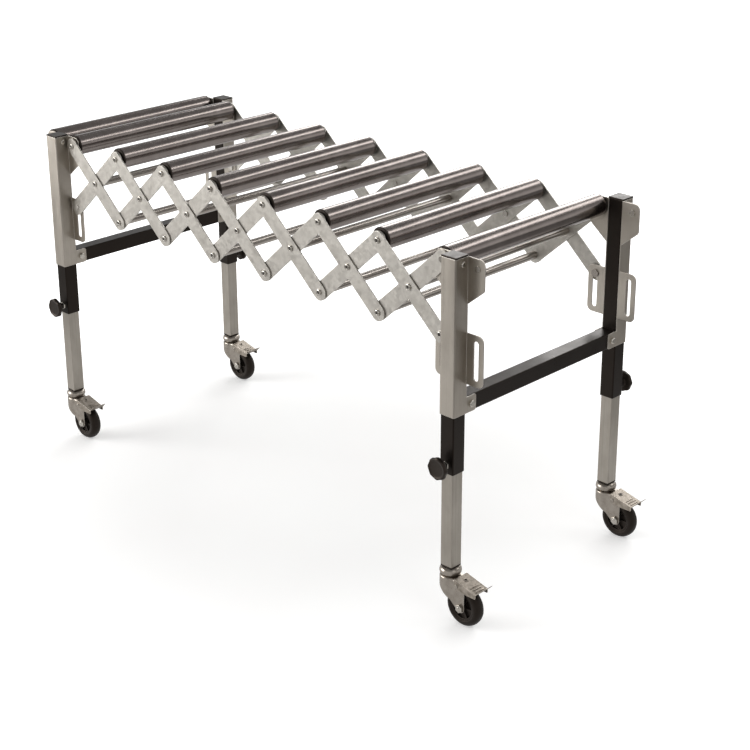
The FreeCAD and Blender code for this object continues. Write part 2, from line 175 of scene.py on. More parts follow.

# %% [markdown]
# ## Zinc-plated bracket sheet
#
# The brackets are 1.6 mm sheet, folded round the legs and zinc plated. The rolling of the
# sheet leaves fine lines that run up and down, and the plating leaves a soft cloudiness. Along
# the bends a light line is painted into the colour, a painted highlight. A wave texture could
# draw the lines, but it repeats; noise that is stretched along Z never does. Colour and
# roughness follow the same streaks. The lines are drawn 3 mm wide, coarser than life, because a
# pixel of the picture is about 2 mm here.

# %% Bracket sheet
bracket_zinc, tree, shader = new_finish("zinc_plated_sheet", metallic=1.0)
streak = grain(tree, (3, 3, 160), detail=2.0)
cloud = grain(tree, (45, 45, 70))
edge = relief(tree, shader, streak, depth_mm=0.012, edge_mm=1.5)
plate = tint(tree, cloud, "#aea79d", "#bdb6ac")
plate = tint(tree, streak, plate, "#9a9288", amount=(0.0, 0.20))
# Painted highlight: the edges and bends get a lighter colour.
tree.links.new(tint(tree, edge, plate, "#e6e1d9", between=WHOLE), shader.inputs["Base Color"])
polish(tree, shader, streak, 0.30, 0.44)
print("made", bracket_zinc.name)

# %% [markdown]
# ## Galvanised arm bar
#
# The scissor arms are flat bar, dipped in zinc. Hot zinc sets in crystals, so the surface is
# a patchwork of slightly different greys, the spangle, with cells of about 7 mm. Noise would
# blur the cells into clouds, so a Voronoi texture gives every cell one grey of its own. On a
# thin bar this reads as a lively light grey, lighter than the brackets.

# %% Arm bar
arm_zinc, tree, shader = new_finish("galvanised_flat_bar", metallic=1.0)
SPANGLE_MM = 7.0
coords = add_node(tree, "ShaderNodeTexCoord")
sized = add_node(tree, "ShaderNodeMapping", inputs={
    "Vector": coords.outputs["Object"], "Scale": [1 / (SPANGLE_MM * MM)] * 3})
spangle = add_node(tree, "ShaderNodeTexVoronoi", inputs={
    "Vector": sized.outputs["Vector"], "Scale": 1.0})
cell = add_node(tree, "ShaderNodeSeparateColor", inputs={"Color": spangle.outputs["Color"]})
cloud = grain(tree, (40, 40, 40))
edge = relief(tree, shader, cloud, depth_mm=0.06, edge_mm=0.9)
bar = tint(tree, cell.outputs["Red"], "#b4b0a9", "#c4c0b9", between=WHOLE)
bar = tint(tree, cloud, bar, "#a19c94", amount=(0.0, 0.32))
# Painted highlight: the edges of the bar get a lighter colour.
tree.links.new(tint(tree, edge, bar, "#d9d5cd", between=WHOLE), shader.inputs["Base Color"])
polish(tree, shader, cell.outputs["Green"], 0.36, 0.50, between=WHOLE)
print("made", arm_zinc.name)

# %% [markdown]
# ## Chromed roller tube
#
# The rollers are welded tube, ground and chromed. Grinding runs round the tube, so the fine
# marks are rings, and goods that pass over leave duller bands. A bright metal shows the room:
# the chrome looks dark and warm because it reflects the unlit part of the studio. That dark
# reflection is painted into a dark warm base colour, a painted reflection, because a white
# chrome would wash out under the soft lamps; with a low roughness it keeps the sharp light
# streaks.

# %% Roller chrome
roller_chrome, tree, shader = new_finish("chromed_roller_tube", metallic=1.0)
rings = grain(tree, (600, 2.5, 600), detail=2.0)
bands = grain(tree, (400, 45, 400))
relief(tree, shader, rings, depth_mm=0.01, edge_mm=0.6)
# Painted reflection: the dark warm base colour stands for the unlit room mirrored in the chrome.
tree.links.new(tint(tree, bands, "#7e7672", "#8d8581"), shader.inputs["Base Color"])
marks = add_node(tree, "ShaderNodeMix", {"data_type": "FLOAT"}, {0: 0.5, 2: rings, 3: bands})
polish(tree, shader, marks.outputs[0], 0.175, 0.255)
print("made", roller_chrome.name)

# %% [markdown]
# ## Turned and plated steel
#
# Axles, rivets and bolts are turned steel with a thin bright zinc plate. The turning leaves
# rings across the piece and the plate is a little yellow where it is thick. The tie tubes
# between the two sides are bare drawn tube, darker and smoother, with lines along their
# length. The bores of the tubular rivets get a dark finish that is painted shade, standing for
# the shade in their hollows. Three finishes of one kind are made here because a single steel
# would hide which piece is which.

# %% Fastener steel
fastener_zinc, tree, shader = new_finish("bright_zinc_steel", metallic=1.0)
turning = grain(tree, (120, 40, 120), detail=1.0)
cloud = grain(tree, (30, 30, 30))
edge = relief(tree, shader, cloud, depth_mm=0.03, edge_mm=0.5)
plate = tint(tree, cloud, "#b3ada4", "#c9c5bd")
# Painted highlight: the edges get a lighter colour.
tree.links.new(tint(tree, edge, plate, "#dedbd4", between=WHOLE), shader.inputs["Base Color"])
polish(tree, shader, turning, 0.17, 0.25)

tie_steel, tree, shader = new_finish("drawn_tie_tube", metallic=1.0)
drawn = grain(tree, (4, 200, 4), detail=2.0)
cloud = grain(tree, (60, 60, 60))
relief(tree, shader, drawn, depth_mm=0.01, edge_mm=0.5)
tube = tint(tree, cloud, "#a29b94", "#b3ada6")
tree.links.new(tint(tree, drawn, tube, "#857e78", amount=(0.0, 0.25)), shader.inputs["Base Color"])
polish(tree, shader, drawn, 0.22, 0.32)

# Painted shade: a dark finish for the discs seated in the rivet bores, where the hollow is in
# shade.
bore_shade_finish, tree, shader = new_finish("painted_shade_rivet_bore", metallic=0.6)
bore_shade_grain = grain(tree, (3, 3, 3))
tree.links.new(tint(tree, bore_shade_grain, "#2b2826", "#4a4541"), shader.inputs["Base Color"])
polish(tree, shader, bore_shade_grain, 0.45, 0.65)
print("made", fastener_zinc.name, tie_steel.name, "and", bore_shade_finish.name)

# %% [markdown]
# ## Satin inner leg
#
# The sliding legs are bright drawn tube. They slide in and out of the black tubes, so they
# carry long straight rub marks from end to end. An anisotropic shader could stretch the
# highlight, but the marks themselves would be missing; here they are stretched noise, 3 mm
# across and a quarter of a metre long, in the colour, the polish and the relief.

# %% Inner leg steel
leg_satin, tree, shader = new_finish("satin_drawn_tube", metallic=1.0)
slide_mark = grain(tree, (3, 3, 250), detail=2.0)
cloud = grain(tree, (30, 30, 60))
edge = relief(tree, shader, slide_mark, depth_mm=0.04, edge_mm=1.6)
tube = tint(tree, cloud, "#9e988f", "#ada79e")
tube = tint(tree, slide_mark, tube, "#89827a", amount=(0.0, 0.28))
# Painted highlight: the edges of the tube get a lighter colour.
tree.links.new(tint(tree, edge, tube, "#cfcac2", between=WHOLE), shader.inputs["Base Color"])
polish(tree, shader, slide_mark, 0.30, 0.46)
print("made", leg_satin.name)

# %% [markdown]
# ## Pressed caster steel
#
# Forks and pedals are pressed from sheet and barrel plated, so every face carries the soft
# mottle of tumbling, about 9 mm across. The plate is a warm nickel grey, and its rounded edges
# are painted lighter, a painted highlight. Real dents would need a dense mesh; a very shallow
# bump is enough, because the eye reads them only from how the highlight breaks up. The pedals
# are trodden on: they start from the same plate, but shoes have scuffed it dull in patches, and
# their edges carry the same painted highlight.

# %% Caster steel
caster_nickel, tree, shader = new_finish("barrel_plated_pressing", metallic=1.0)
mottle = grain(tree, (9, 9, 9), detail=1.0)
cloud = grain(tree, (25, 25, 25))
edge = relief(tree, shader, mottle, depth_mm=0.012, edge_mm=0.9)
plate = tint(tree, mottle, "#9a9289", "#a69f96")
plate = tint(tree, cloud, plate, "#827a71", amount=(0.0, 0.25))
# Painted highlight: the rounded edges of the fork get a lighter colour.
tree.links.new(tint(tree, edge, plate, "#d8d3cb", between=WHOLE), shader.inputs["Base Color"])
polish(tree, shader, mottle, 0.26, 0.33)

trodden_plate, tree, shader = new_finish("trodden_plate", metallic=1.0)
scuff = grain(tree, (7, 7, 7))
edge = relief(tree, shader, scuff, depth_mm=0.02, edge_mm=0.9)
plate = tint(tree, scuff, "#7f776d", "#aaa196")
# Painted highlight: the edges of the pedal get a lighter colour.
tree.links.new(tint(tree, edge, plate, "#d3ccc2", between=WHOLE), shader.inputs["Base Color"])
polish(tree, shader, scuff, 0.36, 0.50)
print("made", caster_nickel.name, "and", trodden_plate.name)

# %% [markdown]
# ## Black moulded plastic and rubber
#
# Knobs, caps, plugs and roller ends are black nylon with a fine spark-eroded grain, which
# scatters the light into a soft sheen. The tyres are a duller rubber, a little brown, with
# floor dust rubbed into the tread. Plain black would show neither, so grain and dust are
# drawn at 2 to 10 mm and break up the gloss more than the colour.

# %% Plastic and rubber
black_nylon, tree, shader = new_finish("black_moulded_nylon")
erosion = grain(tree, (2, 2, 2), detail=1.0)
cloud = grain(tree, (20, 20, 20))
edge = relief(tree, shader, erosion, depth_mm=0.10, edge_mm=0.8)
skin = tint(tree, cloud, "#100e0d", "#191614")
# Painted highlight: the edges of the plastic get a lighter colour.
tree.links.new(tint(tree, edge, skin, "#2e2926", between=WHOLE), shader.inputs["Base Color"])
polish(tree, shader, cloud, 0.34, 0.46)
sheen(shader, 0.35)

tyre_rubber, tree, shader = new_finish("dusty_black_rubber")
dust = grain(tree, (10, 6, 10), detail=5.0)
relief(tree, shader, dust, depth_mm=0.10, edge_mm=1.0)
skin = tint(tree, dust, "#0a0908", "#1b1817", amount=(0.0, 0.8), between=(0.42, 0.75))
tree.links.new(skin, shader.inputs["Base Color"])
polish(tree, shader, dust, 0.40, 0.58)
sheen(shader, 0.28)
print("made", black_nylon.name, "and", tyre_rubber.name)

# %% [markdown]
# ## Dressing the CAD nodes
#
# Most nodes are one material all over. A few hold two: a roller is a steel tube with plastic
# ends, an inner leg has a plastic plug at its foot, a tie has bright ends. Their meshes
# stay as they are; each face only gets the number of the finish it takes, chosen by where
# the face is. The places below repeat the CAD sizes, in millimetres.

# %% Finishes on the nodes
LEG_FOOT = 107.0
ROLLER_CAP_FROM = 205.9
TIE_END = 209.0
CELLS, ROLLERS = 7, 9
CORNERS = [(side, end) for side in ("near", "far") for end in ("left", "right")]


def dress(node_name, finishes, choose=None):
    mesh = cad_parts[node_name].data
    mesh.materials.clear()
    for finish in finishes:
        mesh.materials.append(finish)
    for polygon in mesh.polygons:
        polygon.material_index = choose(polygon.center / MM) if choose else 0


for end in ("left", "right"):
    dress(f"{end}_leg_tubes", [powder_coat])
    dress(f"{end}_crossbar", [powder_coat])
    dress(f"{end}_brackets", [bracket_zinc])
    dress(f"{end}_frame_bolts", [fastener_zinc])
    dress(f"{end}_leg_caps", [black_nylon])
for i in range(1, CELLS + 1):
    dress(f"outer_arms_{i}", [arm_zinc])
    dress(f"inner_arms_{i}", [arm_zinc])
    dress(f"arm_pins_{i}", [fastener_zinc, tie_steel], lambda at: int(abs(at.y) < TIE_END))
for i in range(1, ROLLERS + 1):
    dress(f"roller_{i}", [roller_chrome, black_nylon], lambda at: int(abs(at.y) > ROLLER_CAP_FROM))
for side, end in CORNERS:
    dress(f"{side}_{end}_leg", [leg_satin, black_nylon], lambda at: int(at.z < LEG_FOOT))
    dress(f"{side}_{end}_clamp_knob", [black_nylon])
    dress(f"{side}_{end}_caster_fork", [caster_nickel])
    dress(f"{side}_{end}_brake_pedal", [trodden_plate])
    dress(f"{side}_{end}_caster_wheel", [tyre_rubber])
print("dressed", len(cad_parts), "nodes")

# %% [markdown]
# ## Making a piece
#
# Every added piece is a mesh whose vertices are already in place, so its object sits at the
# origin like a CAD node. One function finishes them all: it merges doubles, turns the faces
# outwards, shades smooth up to a 35 degree edge, and lets the piece ride on its body.
#
# Round pieces are turned on a lathe: an outline of a few points is spun once round an axis.
# An outline that starts on the axis also ends there. Any other one is the section of a ring,
# so its last point is joined to its first.

# %% Piece and lathe
SMOOTH_ANGLE = math.radians(35)
MERGE_MM = 0.01
LATHE_STEPS = 28
ROLLER_D = 42.0


def finish_piece(name, bm, finish, body):
    bmesh.ops.remove_doubles(bm, verts=bm.verts, dist=MERGE_MM * MM)
    bmesh.ops.recalc_face_normals(bm, faces=bm.faces)
    mesh = bpy.data.meshes.new(name)
    bm.to_mesh(mesh)
    bm.free()
    mesh.shade_smooth()
    mesh.set_sharp_from_angle(angle=SMOOTH_ANGLE)
    mesh.materials.append(finish)
    piece = bpy.data.objects.new(name, mesh)
    scene.collection.objects.link(piece)
    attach(piece, body)
    return piece


def turn(bm, outline, centre, axis, steps=LATHE_STEPS):
    """Spins an outline of (radius, height) points in mm round an axis through centre."""
    along = Vector(axis)
    out = along.orthogonal().normalized()
    middle = Vector(centre)
    verts = [bm.verts.new((middle + out * r + along * h) * MM) for r, h in outline]
    pairs = list(zip(verts, verts[1:]))
    if outline[0][0] > 0:
        pairs.append((verts[-1], verts[0]))
    edges = [bm.edges.new(pair) for pair in pairs]
    bmesh.ops.spin(bm, geom=verts + edges, cent=middle * MM, axis=along,
                   angle=math.tau, steps=steps, use_merge=True)


flat = round(ROLLER_D * math.pi / LATHE_STEPS, 1)
print("a lathe turn of", LATHE_STEPS, "steps has flats of", flat, "mm on a roller")

# %% [markdown]
# ## Rivet heads
#
# Every pivot of the scissor is a tubular rivet: a rolled rim that catches the light round a
# bore in shade. The CAD rivet ends in a flat disc, so a rim and a dark disc of the same size are
# turned and seated on it; the dark disc in the bore is painted shade. They ride on the outer arm
# that the rivet is fixed to.

# %% Rivet heads
ARM_LEN, ARM_RISE = 198.6, 133.0
PITCH = ARM_LEN * math.cos(math.asin(ARM_RISE / ARM_LEN))
LEFT_X, RIGHT_X = -565.711, 542.711
UPPER_Z, LOWER_Z = 659.4, 526.4
PIVOT_OFF = 38.0
FIRST_X = LEFT_X + PIVOT_OFF
HEAD_FACE_Y = 219.2
RIM = [(5.9, -0.3), (5.9, 0.1), (5.4, 0.9), (4.4, 1.4), (3.4, 1.3), (2.8, 0.7), (2.7, -0.2)]
BORE_SHADE_DISC = [(0.0, -0.3), (2.8, -0.3), (2.8, 0.15), (1.4, 0.1), (0.0, 0.1)]


def rivet_pieces(name, outline, places, finish, body):
    bm = bmesh.new()
    for x, y, z in places:
        turn(bm, outline, (x, y, z), (0, math.copysign(1, y), 0), steps=20)
    finish_piece(name, bm, finish, body)


for i in range(1, CELLS + 1):
    start, stop = FIRST_X + (i - 1) * PITCH, FIRST_X + i * PITCH
    spots = [(start, UPPER_Z), ((start + stop) / 2, (UPPER_Z + LOWER_Z) / 2), (stop, LOWER_Z)]
    places = [(x, side * HEAD_FACE_Y, z) for x, z in spots for side in (-1, 1)]
    rivet_pieces(f"rivet_heads_{i}", RIM, places, fastener_zinc, f"outer_arm_{i}")
    # Painted shade: a dark disc in the bore of each rivet.
    rivet_pieces(f"rivet_bore_shade_discs_{i}", BORE_SHADE_DISC, places, bore_shade_finish, f"outer_arm_{i}")
print("rivet heads on", CELLS, "outer arms")

# %% [markdown]
# ## Hexagon nuts
#
# The bolts through the frames and the wheel axles end in hexagon nuts. A nut starts as a
# circle of six points, is pulled out to its thickness, and has its outer edges bevelled as a
# real nut is chamfered. A short turned thread end stands in the middle.

# %% Nuts
CHAMFER_SHARE, THREAD_SHARE = 0.12, 0.28
THREAD_OUT, THREAD_SUNK, THREAD_CHAMFER = 1.2, 0.6, 0.5


def nut(bm, centre, outward, across, thick):
    """A nut that starts at centre and stands out along outward, sizes in mm."""
    turned = Vector(outward).to_track_quat("Z", "Y").to_matrix().to_4x4()
    place = Matrix.Translation(Vector(centre) * MM) @ turned
    made = bmesh.ops.create_circle(bm, cap_ends=True, segments=6,
                                   radius=across / math.sqrt(3) * MM, matrix=place)
    floor = made["verts"][0].link_faces[0]
    pulled = bmesh.ops.extrude_face_region(bm, geom=[floor])["geom"]
    raised = [v for v in pulled if isinstance(v, bmesh.types.BMVert)]
    bmesh.ops.translate(bm, verts=raised, vec=Vector(outward) * thick * MM)
    lid = [f for f in pulled if isinstance(f, bmesh.types.BMFace)][0]
    bmesh.ops.bevel(bm, geom=lid.edges[:], offset=CHAMFER_SHARE * across * MM, offset_type="OFFSET",
                    affect="EDGES", segments=2, profile=0.5, material=-1)
    radius = THREAD_SHARE * across
    top, foot = thick + THREAD_OUT, thick - THREAD_SUNK
    thread = [(0.0, top), (radius - THREAD_CHAMFER, top), (radius, top - THREAD_CHAMFER),
              (radius, foot), (0.0, foot)]
    turn(bm, thread, centre, outward, steps=16)


LEG_Y, TUBE_HALF, BRACKET_SHEET = 225.0, 15.0, 1.6
BOLT_Z, TAB_Z, TAB_Y = 666.0, 410.0, 197.5
BOLT_NUT, TAB_NUT = (10.8, 4.2), (13.4, 5.2)
for end, leg_x in (("left", LEFT_X), ("right", RIGHT_X)):
    bm = bmesh.new()
    face_x = leg_x - TUBE_HALF - BRACKET_SHEET
    for side in (-1, 1):
        nut(bm, (face_x, side * LEG_Y, BOLT_Z), (-1, 0, 0), *BOLT_NUT)
        nut(bm, (face_x, side * TAB_Y, TAB_Z), (-1, 0, 0), *TAB_NUT)
    finish_piece(f"{end}_frame_nuts", bm, fastener_zinc, f"{end}_frame")
print("nuts on both frames")

# %% [markdown]
# ## Caster wheels
#
# A caster wheel is a hard rubber tyre moulded round a nylon hub. The tyre is turned from a
# closed outline with a round tread and a shallow step in its wall. The hub is a turned disc
# with a boss, stiffened by six ribs. The tyre stands for the plain CAD wheel, which stays in
# the simulation; hub and tyre ride on the wheel's body, so they spin together. Each of the
# four corners of the table has the same pieces, so one function gives the place of its leg.

# %% Wheels
TRAIL, WHEEL_R = 36.0, 37.5
AXLE_AT = Vector((TRAIL, 0, WHEEL_R))
TYRE_HALF = [(23.6, 10.2), (25.6, 10.4), (26.4, 11.4), (28.2, 11.9), (30.6, 11.6), (33.2, 10.3),
             (35.3, 8.1), (36.7, 5.4), (37.35, 2.7)]
TYRE = TYRE_HALF + [(WHEEL_R, 0.0)] + [(r, -h) for r, h in reversed(TYRE_HALF)]
HUB_HALF = [(4.2, 11.9), (7.6, 11.9), (8.2, 11.3), (8.2, 5.0), (21.4, 5.0), (21.8, 9.4),
            (23.7, 9.8)]
HUB = HUB_HALF + [(r, -h) for r, h in reversed(HUB_HALF)]
RIBS, RIB_R = 6, 14.8
RIB_SIZE = Matrix.Diagonal((13.0 * MM, 18.0 * MM, 2.2 * MM, 1))


def leg_foot(side, end):
    """The point of the floor under a leg, in mm."""
    return Vector((LEFT_X if end == "left" else RIGHT_X, -LEG_Y if side == "near" else LEG_Y, 0))


for side, end in CORNERS:
    hub_at = leg_foot(side, end) + AXLE_AT
    body = f"{side}_{end}_caster_wheel"
    bm = bmesh.new()
    turn(bm, TYRE, hub_at, (0, 1, 0), steps=56)
    tyre = finish_piece(f"{side}_{end}_tyre", bm, tyre_rubber, body)
    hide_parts(body)
    bm = bmesh.new()
    turn(bm, HUB, hub_at, (0, 1, 0), steps=40)
    for k in range(RIBS):
        spoke = Matrix.Translation(hub_at * MM) @ Matrix.Rotation(k * math.tau / RIBS, 4, "Y")
        place = spoke @ Matrix.Translation((RIB_R * MM, 0, 0)) @ RIB_SIZE
        bmesh.ops.create_cube(bm, size=1.0, matrix=place)
    finish_piece(f"{side}_{end}_wheel_hub", bm, black_nylon, body)
print("four tyres of", len(TYRE), "outline points")

# %% [markdown]
# ## Pressed forks
#
# The fork is one sheet, pressed into a hood: a round back under the crown, a roof, and two flat
# cheeks that run forward to the axle. It could be cut from a block, but a sheet is made like a
# sheet here. Most of a circle is spun and its ends are drawn forward, which gives the hood seen
# from above, like a keyhole. It is filled for the roof, pulled down for the walls, bent over at
# the top, trimmed by planes to the outline of the cheeks, and only then given the thickness of
# the sheet. The crown that covers the ball race, the axle and the brake pin are turned and go
# with it. The hood stands for the CAD fork.

# %% Forks
FORK_TOP, FORK_Y, FORK_SHEET, FORK_BEND = 88.0, 15.1, 1.6, 3.5
HOOD_R, HOOD_BACK_Z = 19.5, 74.0
SHOULDER, SHOULDER_SLOPE = (21.0, 88.0), (2.0, 3.0)
BOSS_R, BOSS_CUTS = 9.0, 7
PIN_X, PIN_Z = 28.0, 78.5
CROWN = [(0.0, 0.0), (12.5, 0.0), (15.4, 0.6), (17.8, 2.2), (19.4, 4.6), (20.0, 7.5), (20.0, 8.5),
         (19.4, 11.4), (17.8, 13.8), (15.4, 15.4), (12.5, 16.0), (0.0, 16.0)]
AXLE = [(0.0, -13.6), (4.0, -13.6), (4.0, 13.6), (0.0, 13.6)]
PIN_HALF = [(2.5, 17.1), (3.8, 17.2), (3.8, 17.9), (3.3, 18.4), (0.0, 18.4)]
PIN = [(r, -h) for r, h in reversed(PIN_HALF)] + PIN_HALF


def trim(bm, at, outward):
    """Cuts away what lies beyond a plane through at, seen from the side as (x, z) in mm."""
    bmesh.ops.bisect_plane(bm, geom=bm.verts[:] + bm.edges[:] + bm.faces[:], dist=0.001 * MM,
                           plane_co=Vector((at[0], 0, at[1])) * MM,
                           plane_no=Vector((outward[0], 0, outward[1])), clear_outer=True)


def press_hood(bm):
    """The fork's sheet, with the leg's axis at the origin."""
    opening = math.asin(FORK_Y / HOOD_R)
    cheek_x = HOOD_R * math.cos(opening)
    first = bm.verts.new(Vector((cheek_x, -FORK_Y, FORK_TOP)) * MM)
    bent = bmesh.ops.spin(bm, geom=[first], cent=Vector((0, 0, FORK_TOP)) * MM, axis=(0, 0, -1),
                          angle=math.tau - 2 * opening, steps=LATHE_STEPS)
    last = [v for v in bent["geom_last"] if isinstance(v, bmesh.types.BMVert)][0]
    drawn = bmesh.ops.extrude_vert_indiv(bm, verts=[first, last])["verts"]
    bmesh.ops.translate(bm, verts=drawn, vec=Vector((TRAIL + BOSS_R - cheek_x, 0, 0)) * MM)
    rim = bm.edges[:]
    mouth = bm.edges.new(drawn)
    bmesh.ops.edgeloop_fill(bm, edges=rim + [mouth])
    pulled = bmesh.ops.extrude_edge_only(bm, edges=rim)["geom"]
    foot = [v for v in pulled if isinstance(v, bmesh.types.BMVert)]
    bmesh.ops.translate(bm, verts=foot, vec=Vector((0, 0, WHEEL_R - 2 * BOSS_R - FORK_TOP)) * MM)
    bmesh.ops.bevel(bm, geom=rim, offset=FORK_BEND * MM, offset_type="OFFSET", affect="EDGES",
                    segments=4, profile=0.5, material=-1)
    trim(bm, SHOULDER, SHOULDER_SLOPE)
    reach = math.hypot(TRAIL + HOOD_R, HOOD_BACK_Z - WHEEL_R)
    fall = math.atan2(HOOD_BACK_Z - WHEEL_R, TRAIL + HOOD_R) + math.asin(BOSS_R / reach)
    for k in range(BOSS_CUTS):
        turned = -(fall + math.pi / 2) * (1 - k / BOSS_CUTS)
        outward = (math.cos(turned), math.sin(turned))
        trim(bm, (TRAIL + BOSS_R * outward[0], WHEEL_R + BOSS_R * outward[1]), outward)
    bmesh.ops.recalc_face_normals(bm, faces=bm.faces)
    bmesh.ops.solidify(bm, geom=bm.faces[:], thickness=FORK_SHEET * MM)


for side, end in CORNERS:
    leg_at = leg_foot(side, end)
    body = f"{side}_{end}_caster_fork"
    bm = bmesh.new()
    press_hood(bm)
    bmesh.ops.translate(bm, verts=bm.verts, vec=leg_at * MM)
    turn(bm, CROWN, leg_at + Vector((0, 0, FORK_TOP)), (0, 0, 1), steps=48)
    turn(bm, AXLE, leg_at + AXLE_AT, (0, 1, 0), steps=20)
    turn(bm, PIN, leg_at + Vector((PIN_X, 0, PIN_Z)), (0, 1, 0), steps=20)
    fork = finish_piece(f"{side}_{end}_pressed_fork", bm, caster_nickel, body)
    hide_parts(body)
print("four forks;", 2 * PIN_HALF[-1][1], "mm over the heads of the brake pin")

# %% [markdown]
# ## Caster hardware
#
# Where the crown meets the roof of the fork, the turned race of the ball bearing shows as a
# thin bright lip. The wheel axle carries a nut on each side. The brake pedal has three pressed
# ridges that keep a shoe from slipping, and an eyelet near its root, whose hole is a black
# disc of painted shade.

# %% Races, axle nuts and pedal ridges
RACE = [(11.5, -0.3), (14.2, -0.3), (14.8, 0.3), (14.6, 1.0), (13.6, 1.3), (11.5, 1.3)]
PEDAL_ROOT, PEDAL_TIP = Vector((23.0, 0, 90.5)), Vector((72.0, 0, 78.5))
PEDAL_HOLE_SHADE_DISC = [(0.0, -0.1), (2.7, -0.1), (2.7, 0.12), (0.0, 0.12)]
EYELET = [(2.6, -0.2), (2.6, 0.7), (3.4, 1.0), (4.4, 0.5), (4.6, -0.2)]
EYELET_ALONG, RIDGES_ALONG, RIDGE_BEND = 13.0, (34.0, 40.0, 46.0), 0.7
RIDGE_SIZE = Matrix.Diagonal((2.4 * MM, 23.0 * MM, 1.8 * MM, 1))
AXLE_NUT = (14.3, 4.6)
slope = (PEDAL_TIP - PEDAL_ROOT).normalized()
pedal_up = Vector((-slope.z, 0, slope.x))
lean = math.atan2(-slope.z, slope.x)
for side, end in CORNERS:
    leg_at = leg_foot(side, end)
    bm = bmesh.new()
    turn(bm, RACE, leg_at + Vector((0, 0, FORK_TOP)), (0, 0, 1), steps=40)
    for outward in (-1, 1):
        cheek_at = leg_at + AXLE_AT + Vector((0, outward * FORK_Y, 0))
        nut(bm, cheek_at, (0, outward, 0), *AXLE_NUT)
    finish_piece(f"{side}_{end}_caster_hardware", bm, fastener_zinc,
                 f"{side}_{end}_caster_fork")
    bm = bmesh.new()
    for along in RIDGES_ALONG:
        at = leg_at + PEDAL_ROOT + slope * along
        place = Matrix.Translation(at * MM) @ Matrix.Rotation(lean, 4, "Y") @ RIDGE_SIZE
        bar = bmesh.ops.create_cube(bm, size=1.0, matrix=place)["verts"]
        rims = list({e for v in bar for e in v.link_edges})
        bmesh.ops.bevel(bm, geom=rims, offset=RIDGE_BEND * MM, offset_type="OFFSET",
                        affect="EDGES", segments=3, profile=0.5, material=-1)
    eyelet_at = leg_at + PEDAL_ROOT + slope * EYELET_ALONG
    turn(bm, EYELET, eyelet_at, pedal_up, steps=24)
    finish_piece(f"{side}_{end}_pedal_ridges", bm, trodden_plate,
                 f"{side}_{end}_brake_pedal")
    # Painted shade: a thin black disc stands for the hole of the eyelet.
    bm = bmesh.new()
    turn(bm, PEDAL_HOLE_SHADE_DISC, eyelet_at, pedal_up, steps=20)
    finish_piece(f"{side}_{end}_pedal_hole_shade_disc", bm, black_nylon,
                 f"{side}_{end}_brake_pedal")
print("hardware on four casters")

# %% [markdown]
# ## Clamp knobs
#
# The clamp knob is a thin moulded disc with a sunk face and a wavy grip, on a slim hub. Its
# screw goes through a nut that is welded to the tube. Disc and hub are turned from one
# outline, which is quicker than joining two shapes. Then the points of the rim are drawn in
# and out eight times round to make the waves. The plain CAD knob stays in the simulation.

# %% Knobs, screws and weld nuts
KNOB_FACE_Y, KNOB_Z = 266.4, 304.0
KNOB = [(0.0, -1.4), (12.8, -1.4), (15.2, -1.0), (16.6, -0.2), (18.6, -0.2), (20.3, -1.3),
        (21.0, -3.4), (21.0, -6.0), (20.2, -7.7), (17.5, -8.5), (10.5, -9.3), (8.6, -11.0),
        (7.8, -18.6), (6.8, -19.6), (0.0, -19.6)]
SCREW = [(0.0, -19.0), (4.0, -19.0), (4.0, -27.0), (0.0, -27.0)]
WELD_NUT = (14.0, 5.0)
GRIP_FROM, GRIP_R, GRIP_DEPTH, GRIP_WAVES = 17.0, 21.0, 1.5, 8


def wave_rim(bm, centre):
    """Draws the rim of a disc that faces along Y in and out, most at its outermost points."""
    for vert in bm.verts:
        arm = vert.co / MM - Vector(centre)
        arm.y = 0
        reach = max(0.0, (arm.length - GRIP_FROM) / (GRIP_R - GRIP_FROM))
        dip = GRIP_DEPTH * reach * (0.5 - 0.5 * math.cos(GRIP_WAVES * math.atan2(arm.z, arm.x)))
        vert.co -= arm.normalized() * dip * MM


for side, end in CORNERS:
    leg_at = leg_foot(side, end)
    sign = math.copysign(1, leg_at.y)
    body = f"{side}_{end}_clamp_knob"
    face_at = (leg_at.x, sign * KNOB_FACE_Y, KNOB_Z)
    bm = bmesh.new()
    turn(bm, KNOB, face_at, (0, sign, 0), steps=64)
    wave_rim(bm, face_at)
    knob = finish_piece(f"{side}_{end}_knob_disc", bm, black_nylon, body)
    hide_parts(body)
    bm = bmesh.new()
    turn(bm, SCREW, face_at, (0, sign, 0), steps=20)
    finish_piece(f"{side}_{end}_knob_screw", bm, fastener_zinc, body)
    bm = bmesh.new()
    nut(bm, (leg_at.x, sign * (LEG_Y + TUBE_HALF), KNOB_Z), (0, sign, 0), *WELD_NUT)
    finish_piece(f"{side}_{end}_weld_nut", bm, fastener_zinc, f"{end}_frame")
print("four knobs of", len(KNOB), "outline points")

# %% [markdown]
# ## Roller bushes
#
# Each roller turns on a nylon bush that stands a little out of its end, so the chrome never
# rubs on the arms. A bush is a small chamfered ring, turned from a closed outline at each end.

# %% Roller bushes
ROLLER_END = 209.0
BUSH = [(4.2, -0.4), (4.2, 0.6), (7.6, 0.6), (8.0, 0.3), (8.0, -0.4)]
roller_xs = [LEFT_X - PIVOT_OFF] + [FIRST_X + k * PITCH for k in range(CELLS + 1)]
for i, x in enumerate(roller_xs, start=1):
    bm = bmesh.new()
    for sign in (-1, 1):
        turn(bm, BUSH, (x, sign * ROLLER_END, UPPER_Z), (0, sign, 0))
    finish_piece(f"roller_bushes_{i}", bm, black_nylon, f"roller_{i}")
print("bushes on", len(roller_xs), "rollers")

